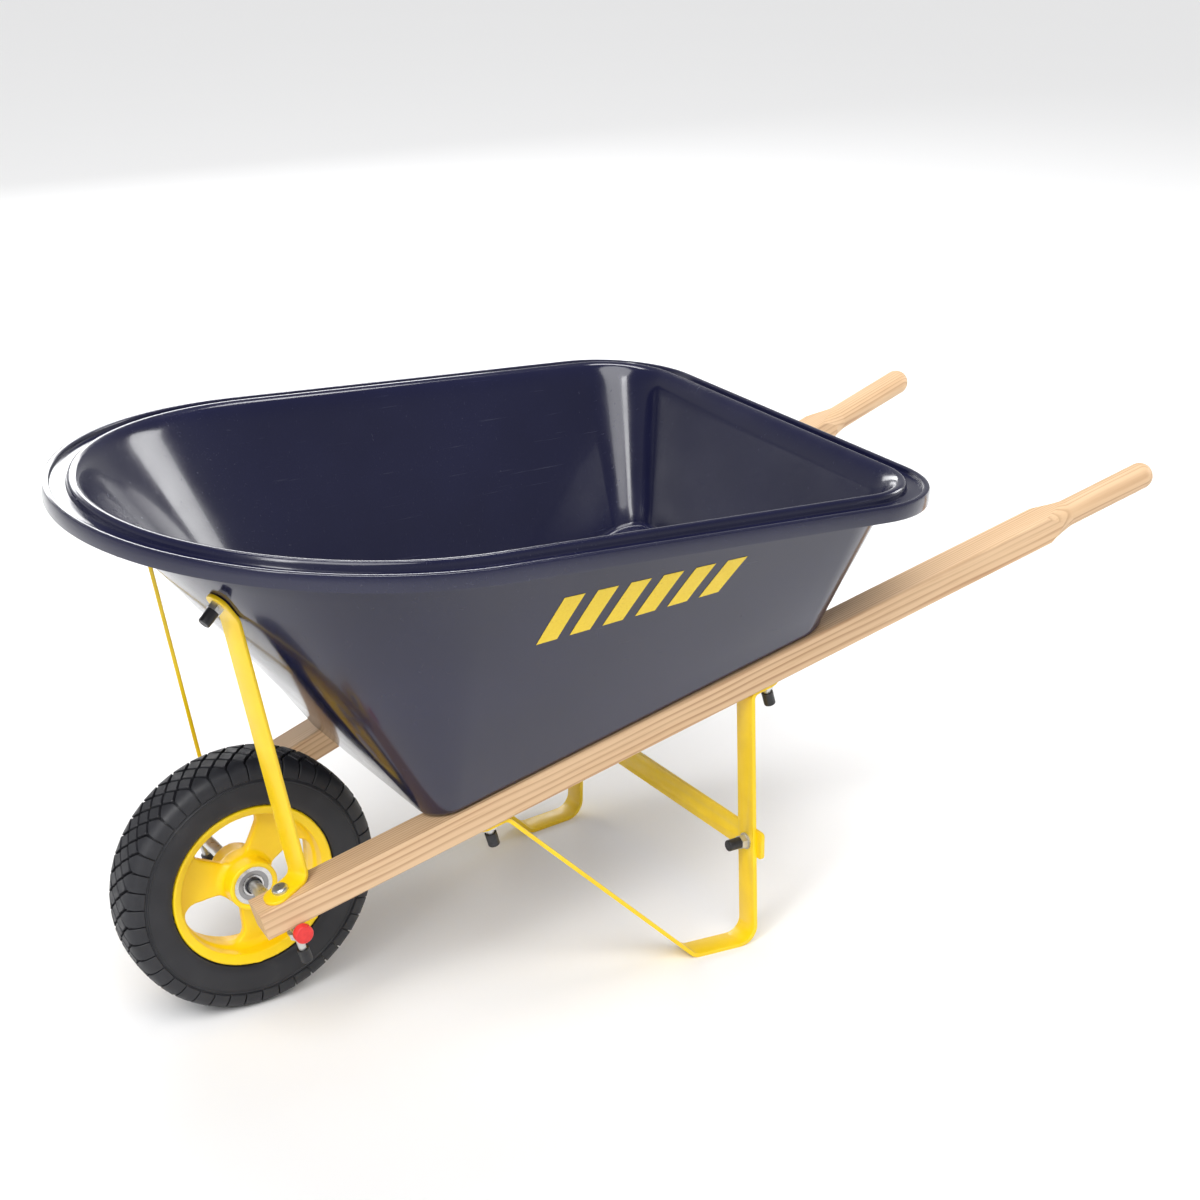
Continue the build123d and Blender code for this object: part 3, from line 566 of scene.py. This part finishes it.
# %% Printed bars
PRINT_LIFT = 0.25
BARS = 6
BAR_COLUMNS = 4
BAR_ROWS = 6
PRINT_SPAN = (0.17, 0.70)
PRINT_HEIGHT = (0.62, 0.80)
BAR_FILL = 0.62
BAR_SLANT = 0.055
BAR_THICKNESS = 0.1
SMALL_STEP = 0.01
SIDE_STRETCHES = ((1, -1), (5, 1))
INK_TONES = [(0.25, (0.55, 0.36, 0.02)), (0.36, (0.86, 0.60, 0.02)), (0.8, (0.92, 0.68, 0.04))]


def wall_spot(stretch, share, climb):
    """Point on the outside of the tub's wall, with climb running from the floor's edge to the rim."""
    along, y = floor_spot(stretch, share, TUB_EDGE * (1 - sin(TUB_EDGE_SWEEP)))
    rise = TUB_EDGE * (1 - cos(TUB_EDGE_SWEEP))
    low = Vector((0, 0, AXLE.z / MM)) + off_rail * (RAIL_TOP_LIFT + rise) + up_rail * along + across * y
    x, y = rim_spot(stretch, share, RIM_OVERHANG - WALL)
    high = Vector((0, 0, RIM_HEIGHT)) + along_rim * x + across * y + off_rim * ROLL_START
    return low.lerp(high, climb)


def printed_bar(number, stretch, side):
    bpy.ops.object.select_all(action="DESELECT")
    bpy.ops.mesh.primitive_grid_add(x_subdivisions=BAR_COLUMNS, y_subdivisions=BAR_ROWS, size=1)
    bar = bpy.context.object
    pitch = (PRINT_SPAN[1] - PRINT_SPAN[0]) / BARS
    for point in bar.data.vertices:
        u, v = point.co.x + 0.5, point.co.y + 0.5
        share = PRINT_SPAN[0] + pitch * (number + u * BAR_FILL) + BAR_SLANT * (v - 0.5)
        climb = PRINT_HEIGHT[0] + (PRINT_HEIGHT[1] - PRINT_HEIGHT[0]) * v
        share = share if side < 0 else 1 - share
        spot = wall_spot(stretch, share, climb)
        run = wall_spot(stretch, share + SMALL_STEP, climb) - spot
        rise = wall_spot(stretch, share, climb + SMALL_STEP) - spot
        point.co = in_scene(spot + run.cross(rise).normalized() * PRINT_LIFT)
    return bar


bars = [printed_bar(i, stretch, side) for stretch, side in SIDE_STRETCHES for i in range(BARS)]
prints = join("side_bars", bars)
select_only(prints)
bpy.ops.object.mode_set(mode="EDIT")
bpy.ops.mesh.select_all(action="SELECT")
bpy.ops.mesh.normals_make_consistent(inside=False)
bpy.ops.object.mode_set(mode="OBJECT")
apply_modifier(prints, "SOLIDIFY", thickness=BAR_THICKNESS * MM, offset=-1)
smooth(prints, TRAY_SMOOTH)
print("side_bars:", len(bars), "bars")

# %% Printing ink
ink = Nodes("yellow_print", Roughness=0.4)
worn = ink.noise(700.0, detail=6.0)
ink.colour(ink.ramp(worn, INK_TONES))
ink.roughness(ink.levels(ink.noise(60.0), 0.3, 0.7, 0.32, 0.5))
ink.bump(worn, 0.00002, 0.4)
prints.data.materials.append(ink.material)
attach(prints, "frame")
print("ink:", ink.material.name)

# %% [markdown]
# ## The tyre
# A solid rubber tyre has a smooth sidewall with one fine ridge, shoulder lugs that wrap over the edge and a
# running band of staggered diamond blocks. The body is a section turned about the axle. One lug and one
# diamond are drawn in full, softened with a bevel and copied round, because a real mould repeats them too.

# %% Tyre body
TURN_STATIONS = 96
BODY_HALF = [(60.4, 16.0), (64.2, 17.2), (64.6, 19.6), (66.2, 21.2), (70.0, 22.2), (76.0, 22.6),
             (81.6, 22.4), (83.2, 22.2), (83.7, 22.75), (84.5, 22.75), (85.0, 21.9), (88.0, 20.9),
             (91.6, 19.2), (94.2, 17.2), (95.4, 14.0), (96.0, 9.0), (96.3, 0.0)]
tyre_section = BODY_HALF + [(r, -y) for r, y in BODY_HALF[-2::-1]]


def round_axle(radius, y, angle):
    """Point at a radius from the axle, y to the side and an angle round it."""
    return AXLE + Vector((radius * sin(angle), y, radius * cos(angle))) * MM


def turned(name, section):
    """Closed section of (radius, y) turned about the axle."""
    angles = [2 * pi * i / TURN_STATIONS for i in range(TURN_STATIONS)]
    rings = [[round_axle(r, y, angle) for angle in angles] for r, y in section]
    piece = loft(name, rings, capped=False)
    select_only(piece)
    bpy.ops.object.mode_set(mode="EDIT")
    bpy.ops.mesh.select_all(action="DESELECT")
    bpy.ops.mesh.select_non_manifold()
    bpy.ops.mesh.bridge_edge_loops()
    bpy.ops.mesh.select_all(action="SELECT")
    bpy.ops.mesh.normals_make_consistent(inside=False)
    bpy.ops.object.mode_set(mode="OBJECT")
    return piece


body = turned("tyre_body", tyre_section)
print("tyre_body:", triangles(body), "triangles")

# %% [markdown]
# A lug wraps over the shoulder, narrow at its inner tip and wide at its outer end. Rows of four points, two on
# the top and two in the body, follow it over the edge, and the body hides its foot.

# %% One shoulder lug
LUGS = 42
LUG_STEP = 2 * pi / LUGS
LUG_TOP = [(99.6, 9.2), (99.3, 11.5), (98.9, 13.6), (98.4, 15.4), (97.3, 17.9), (95.5, 19.9), (93.0, 21.3),
           (90.2, 22.1), (86.8, 22.75)]
LUG_FOOT = [(94.9, 9.2), (94.7, 11.5), (94.2, 13.2), (93.8, 14.4), (92.2, 16.0), (90.6, 17.4), (88.8, 18.6),
            (87.0, 19.5), (85.2, 20.5)]
LUG_WIDTHS = [0.04, 0.35, 0.63, 0.86, 0.90, 0.92, 0.93, 0.93, 0.93]
LUG_BEVEL = 0.35 * MM
LUG_BEVEL_OVER = radians(38)


def lug(side, phase):
    loops = []
    for (top_r, top_y), (foot_r, foot_y), width in zip(LUG_TOP, LUG_FOOT, LUG_WIDTHS):
        half = LUG_STEP * width / 2
        loops.append([round_axle(top_r, side * top_y, phase - half),
                      round_axle(top_r, side * top_y, phase + half),
                      round_axle(foot_r, side * foot_y, phase + half),
                      round_axle(foot_r, side * foot_y, phase - half)])
    piece = loft("lug", loops)
    apply_modifier(piece, "BEVEL", width=LUG_BEVEL, segments=1, limit_method="ANGLE",
                   angle_limit=LUG_BEVEL_OVER)
    return piece


print("one of", LUGS, "lugs is", round(LUG_STEP * DEGREE, 2), "degrees apart from the next")

# %% [markdown]
# A diamond block has six sides and its long way across the tread. Its top follows the tyre's crown and is a
# little smaller than its foot, with a narrow step for the worn edge.

# %% One diamond block
DIAMOND_HALF = 0.40
DIAMOND_REACH = 6.0
DIAMOND_TIP = 0.12
DIAMOND_ROW = 7.2
DIAMOND_TOP = 99.9
DIAMOND_FOOT = 95.0
DIAMOND_EDGE = 0.45
FOOT_SIZE, EDGE_SIZE, TOP_SIZE = 1.04, 0.98, 0.91
CROWN = 0.0045


def diamond(y, phase):
    """Six-sided block with its long way across the tread, following the crown of the tyre."""
    tip = DIAMOND_HALF * DIAMOND_TIP
    outline = [(-DIAMOND_HALF, 0), (-tip, -DIAMOND_REACH), (tip, -DIAMOND_REACH), (DIAMOND_HALF, 0),
               (tip, DIAMOND_REACH), (-tip, DIAMOND_REACH)]
    levels = [(DIAMOND_FOOT, FOOT_SIZE), (DIAMOND_TOP - DIAMOND_EDGE, EDGE_SIZE), (DIAMOND_TOP, TOP_SIZE)]
    loops = []
    for top, grow in levels:
        spots = [(y + v * grow, phase + u * grow * LUG_STEP) for u, v in outline]
        loops.append([round_axle(top - CROWN * v ** 2, v, angle) for v, angle in spots])
    return loft("diamond", loops)


# %% Copy the blocks round the body
TYRE_SMOOTH = 32

blocks = [lug(-1, LUG_STEP / 2), lug(1, LUG_STEP / 2), diamond(0, LUG_STEP / 2)]
blocks += [diamond(-DIAMOND_ROW, 0), diamond(DIAMOND_ROW, 0)]
copies = []
for block in blocks:
    for i in range(1, LUGS):
        spin = Matrix.Translation(AXLE) @ Matrix.Rotation(i * LUG_STEP, 4, "Y") @ Matrix.Translation(-AXLE)
        copies.append(moved_copy(block, spin))
tyre = join("tyre_tread", [body, *blocks, *copies])
smooth(tyre, TYRE_SMOOTH)
print("tyre_tread:", LUGS * len(blocks), "blocks,", triangles(tyre), "triangles")

# %% [markdown]
# Solid rubber is nearly black and matt, with pale grime where it has been rolled and handled, and a fine grain.

# %% Tyre rubber
RUBBER_TONES = [(0.3, (0.014, 0.0145, 0.018)), (0.62, (0.021, 0.0215, 0.026)), (0.85, (0.042, 0.041, 0.042))]

rubber = Nodes("tyre_rubber", Roughness=0.72, IOR=1.45)
grime = rubber.noise(70.0, detail=6.0)
rubber.colour(rubber.ramp(grime, RUBBER_TONES))
rubber.roughness(rubber.levels(rubber.noise(140.0), 0.3, 0.7, 0.42, 0.62))
rubber.bump(rubber.noise(1400.0, detail=3.0), 0.0001, 0.5)
rubber.bump(grime, 0.0002, 0.25)
tyre.data.materials.append(rubber.material)
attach(tyre, "wheel")
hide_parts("tyre")
print("tyre finish:", rubber.material.name)

# %% [markdown]
# ## The wheel
# The wheel is moulded in yellow plastic, so none of its edges is sharp: the hub flares into the web and the
# windows have round lips. Its CAD shape is right in everything but that. A copy of it is closed up, rebuilt as
# even small squares and relaxed, which rounds every edge and inner corner together, as a mould would.

# %% Wheel moulding
VOXEL = 0.95 * MM
WELD = 0.002 * MM
RELAX = 0.5
RELAX_ROUNDS = 6
WHEEL_SMOOTH = 60


def closed_copy(node, name):
    """Copy of a CAD node's mesh with its loose triangles joined."""
    piece = bpy.data.objects.new(name, frame["nodes"][node].data.copy())
    bpy.context.scene.collection.objects.link(piece)
    piece.data.materials.clear()
    select_only(piece)
    bpy.ops.object.mode_set(mode="EDIT")
    bpy.ops.mesh.select_all(action="SELECT")
    bpy.ops.mesh.remove_doubles(threshold=WELD)
    bpy.ops.object.mode_set(mode="OBJECT")
    return piece


wheel = closed_copy("wheel", "wheel_moulding")
apply_modifier(wheel, "REMESH", mode="VOXEL", voxel_size=VOXEL, use_smooth_shade=True)
apply_modifier(wheel, "SMOOTH", factor=RELAX, iterations=RELAX_ROUNDS)
smooth(wheel, WHEEL_SMOOTH)
print("wheel_moulding:", triangles(wheel), "triangles")

# %% [markdown]
# The wheel's yellow is in the plastic itself, so it clouds a little and scuffs to a browner yellow, and never
# shows another colour underneath. The scuffs are noise stretched round the wheel.

# %% Yellow plastic
MOULDING_TONES = [(0.3, (0.90, 0.60, 0.002)), (0.7, (0.97, 0.68, 0.003))]
SCUFF_COLOUR = (0.45, 0.30, 0.05, 1)

yellow = Nodes("yellow_moulding", Roughness=0.38)
cloud = yellow.noise(28.0, detail=5.0)
scuffs = yellow.levels(yellow.noise(1.0, detail=5.0, vector=yellow.scaled((500, 120, 500))), 0.66, 0.76)
base = yellow.ramp(cloud, MOULDING_TONES)
yellow.colour(yellow.mix(yellow.math("MULTIPLY", scuffs, 0.18), base, SCUFF_COLOUR))
yellow.roughness(yellow.levels(yellow.noise(90.0), 0.3, 0.7, 0.30, 0.46))
yellow.bump(yellow.noise(800.0, detail=2.0), 0.00004, 0.4)
wheel.data.materials.append(yellow.material)
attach(wheel, "wheel")
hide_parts("wheel")
print("wheel finish:", yellow.material.name)

# %% [markdown]
# ## The straps
# The legs, the front braces and the cross brace are flat bar, bent and powder coated. Bar comes with slightly
# round edges, and a thick coat rounds them more. Each CAD shape is copied, its flat faces are made whole again
# and its edges get a small bevel that catches the light.

# %% Strap copies
STRAP_BEVEL = 0.55 * MM
STRAP_BEVEL_OVER = radians(50)
FLAT_WITHIN = radians(0.8)
STRAP_SMOOTH = 30


def bevelled_strap(node, name):
    piece = closed_copy(node, name)
    select_only(piece)
    bpy.ops.object.mode_set(mode="EDIT")
    bpy.ops.mesh.select_all(action="SELECT")
    bpy.ops.mesh.dissolve_limited(angle_limit=FLAT_WITHIN)
    bpy.ops.object.mode_set(mode="OBJECT")
    apply_modifier(piece, "BEVEL", width=STRAP_BEVEL, segments=2, limit_method="ANGLE",
                   angle_limit=STRAP_BEVEL_OVER, use_clamp_overlap=True)
    smooth(piece, STRAP_SMOOTH)
    return piece


# %% [markdown]
# Powder coat is sprayed as dust and baked, which leaves an even colour with a faint orange-peel surface. Hard
# knocks chip it, so it has a few small darker specks.

# %% Powder coat
COAT_TONES = [(0.3, (0.88, 0.58, 0.002)), (0.7, (0.96, 0.66, 0.004))]
CHIP_COLOUR = (0.30, 0.24, 0.12, 1)

coat = Nodes("yellow_powder_coat", Roughness=0.34, Coat_Weight=0.2, Coat_Roughness=0.2)
mottle = coat.noise(40.0, detail=5.0)
chips = coat.levels(coat.noise(420.0, detail=5.0), 0.72, 0.76)
sunny = coat.ramp(mottle, COAT_TONES)
coat.colour(coat.mix(coat.math("MULTIPLY", chips, 0.35), sunny, CHIP_COLOUR))
coat.roughness(coat.levels(coat.noise(110.0), 0.3, 0.7, 0.28, 0.42))
coat.bump(coat.noise(520.0, detail=2.0), 0.00012, 0.35)
print("strap finish:", coat.material.name)

# %% The five straps
STRAPS = {"leg_left": "leg_strap_left", "leg_right": "leg_strap_right", "leg_cross_brace": "cross_strap",
          "front_brace_left": "front_strap_left", "front_brace_right": "front_strap_right"}
for node, name in STRAPS.items():
    strap = bevelled_strap(node, name)
    strap.data.materials.append(coat.material)
    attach(strap, "frame")
    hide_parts(node)
    print(name + ":", triangles(strap), "triangles")

# %% [markdown]
# ## The wooden rails
# The rails are pale ash with warm grain. Growth rings are cylinders round the tree's heart, so the pattern is
# made as rings about a line that runs along each rail, a little outside it: the sides then show long wavering
# lines and the sawn end shows arcs, with no picture and no seams.

# %% Wood
HEART = {"left": (0.020, -0.034), "right": (-0.026, -0.030)}
RING_SPACING = 0.0022
RING_WAVER = 0.008
RING_BAND = [(0.0, (0, 0, 0)), (0.5, (0.08, 0.08, 0.08)), (0.86, (1, 1, 1)), (1.0, (0, 0, 0))]
WOOD_TONES = [(0.3, (0.64, 0.42, 0.235)), (0.7, (0.75, 0.53, 0.325))]
RING_COLOUR = (0.36, 0.17, 0.075, 1)
PORE_COLOUR = (0.46, 0.25, 0.11, 1)


def wood(side_name, side):
    grain = Nodes("ash_" + side_name, Roughness=0.5, IOR=1.45)
    run = up_rail * cos(RAIL_SPLAY) + across * (side * sin(RAIL_SPLAY))
    cross_run = off_rail.cross(run)
    to_rail = Matrix((run, cross_run, off_rail)).to_euler()
    local = grain.scaled((1, 1, 1), rotation=to_rail)
    start = to_rail.to_matrix() @ AXLE
    centred = grain.node("VectorMath", {0: local, 1: start}, operation="SUBTRACT").outputs[0]
    waver = grain.noise(1.0, detail=3.0, vector=grain.scaled((2.2, 22, 22), centred))
    fine = grain.noise(1.0, detail=6.0, vector=grain.scaled((22, 900, 900), centred))
    flat = grain.scaled((0.03, 1, 1), centred)
    heart = grain.node("VectorMath", {0: flat, 1: (0, *HEART[side_name])}, operation="SUBTRACT").outputs[0]
    reach = grain.node("VectorMath", {0: heart}, operation="LENGTH").outputs["Value"]
    reach = grain.math("ADD", reach, grain.math("MULTIPLY", waver, RING_WAVER))
    rings = grain.math("FRACT", grain.math("DIVIDE", reach, RING_SPACING))
    band = grain.ramp(rings, RING_BAND)
    strength = grain.levels(grain.noise(1.0, vector=grain.scaled((4, 60, 60), centred)), 0.35, 0.7, 0.25, 0.9)
    band = grain.math("MULTIPLY", band, strength)
    pale = grain.ramp(waver, WOOD_TONES)
    lined = grain.mix(band, pale, RING_COLOUR)
    pores = grain.levels(fine, 0.56, 0.70)
    grain.colour(grain.mix(grain.math("MULTIPLY", pores, 0.35), lined, PORE_COLOUR))
    grain.roughness(grain.levels(fine, 0.3, 0.7, 0.42, 0.58))
    grain.bump(pores, 0.00008, -0.6)
    grain.bump(band, 0.00006, -0.4)
    return grain.material


# %% Dress the rails
def dress(node, material):
    for held in frame["nodes"][node].material_slots:
        held.material = material


for side_name, side in (("left", -1), ("right", 1)):
    dress("rail_" + side_name, wood(side_name, side))
    print("rail_" + side_name, "-> ash")

# %% [markdown]
# ## The metal and the small plastic
# Fasteners are zinc plated and a little cloudy, bearing rings are ground and brighter, and the push-on caps are
# soft moulded plastic. They keep their CAD shapes, and each gets a finish with its own marks at its own scale.

# %% Zinc plate
ZINC_TONES = [(0.3, (0.50, 0.50, 0.50)), (0.55, (0.64, 0.64, 0.63)), (0.8, (0.72, 0.72, 0.70))]

zinc = Nodes("zinc_plate", Metallic=0.9, Roughness=0.34)
bloom = zinc.noise(180.0, detail=6.0)
zinc.colour(zinc.ramp(bloom, ZINC_TONES))
zinc.roughness(zinc.levels(bloom, 0.3, 0.75, 0.24, 0.46))
zinc.bump(zinc.noise(1500.0, detail=2.0), 0.00003, 0.5)
print("fastener finish:", zinc.material.name)

# %% Ground steel, with the rings that turning leaves
GROUND_TONES = [(0.3, (0.66, 0.66, 0.67)), (0.7, (0.76, 0.76, 0.76))]

ground = Nodes("ground_steel", Metallic=1.0, Roughness=0.24)
lathe = ground.node("TexWave", {"Vector": ground.scaled((1, 1, 1)), "Scale": 900.0, "Distortion": 2.0,
                                "Detail": 2.0}, wave_type="RINGS", rings_direction="Y").outputs["Fac"]
ground.colour(ground.ramp(ground.noise(240.0), GROUND_TONES))
ground.roughness(ground.levels(lathe, 0.0, 1.0, 0.20, 0.34))
print("bearing finish:", ground.material.name)

# %% [markdown]
# The other small finishes differ only in their two close tones, their scale and their gloss, so one helper
# makes them all. The caps also have a fine grit, from the matt surface of their mould.

# %% Small parts
GRIT_SCALE = 1200.0
GRIT_DEPTH = 0.00004
GRIT_STRENGTH = 0.5


def small_finish(name, tone_scale, dark, light, gloss_scale, gloss, grit=False, **sockets):
    made = Nodes(name, **sockets)
    made.colour(made.ramp(made.noise(tone_scale), [(0.3, dark), (0.7, light)]))
    made.roughness(made.levels(made.noise(gloss_scale), 0.3, 0.7, *gloss))
    if grit:
        made.bump(made.noise(GRIT_SCALE), GRIT_DEPTH, GRIT_STRENGTH)
    return made


pressed = small_finish("pressed_shield", 200.0, (0.30, 0.30, 0.31), (0.38, 0.38, 0.39), 400.0, (0.32, 0.46),
                       Metallic=0.9, Roughness=0.4)
black = small_finish("black_cap_plastic", 300.0, (0.010, 0.010, 0.012), (0.020, 0.020, 0.024), 500.0,
                     (0.34, 0.5), grit=True, Roughness=0.4)
red = small_finish("red_cap_plastic", 220.0, (0.66, 0.022, 0.024), (0.80, 0.040, 0.036), 400.0, (0.3, 0.46),
                   grit=True, Roughness=0.38, Subsurface_Weight=0.05, Subsurface_Scale=0.002)
spring = small_finish("blackened_steel", 400.0, (0.04, 0.04, 0.045), (0.09, 0.09, 0.095), 700.0,
                      (0.34, 0.52), Metallic=1.0, Roughness=0.42)
polymer = small_finish("cage_polymer", 300.0, (0.10, 0.055, 0.030), (0.15, 0.085, 0.045), 500.0,
                       (0.42, 0.58), Roughness=0.5)
print("small finishes:", [made.material.name for made in (pressed, black, red, spring, polymer)])

# %% A finish for every other CAD node, by the end or the start of its name
FINISHES = {"caps": black, "nuts": zinc, "washers": zinc, "bolts": zinc, "axle_cap": red,
            "axle_clips": spring, "bearing_cage": polymer, "bearing_shields": pressed,
            "bearing": ground, "hub_tube": zinc, "axle": zinc}
replaced = {"tray", "tyre", "wheel", "rail_left", "rail_right", *STRAPS}
for node in sorted(set(frame["nodes"]) - replaced):
    kind = next(k for k in FINISHES if node.endswith("_" + k) or node.startswith(k))
    dress(node, FINISHES[kind].material)
    print(node, "->", FINISHES[kind].material.name)
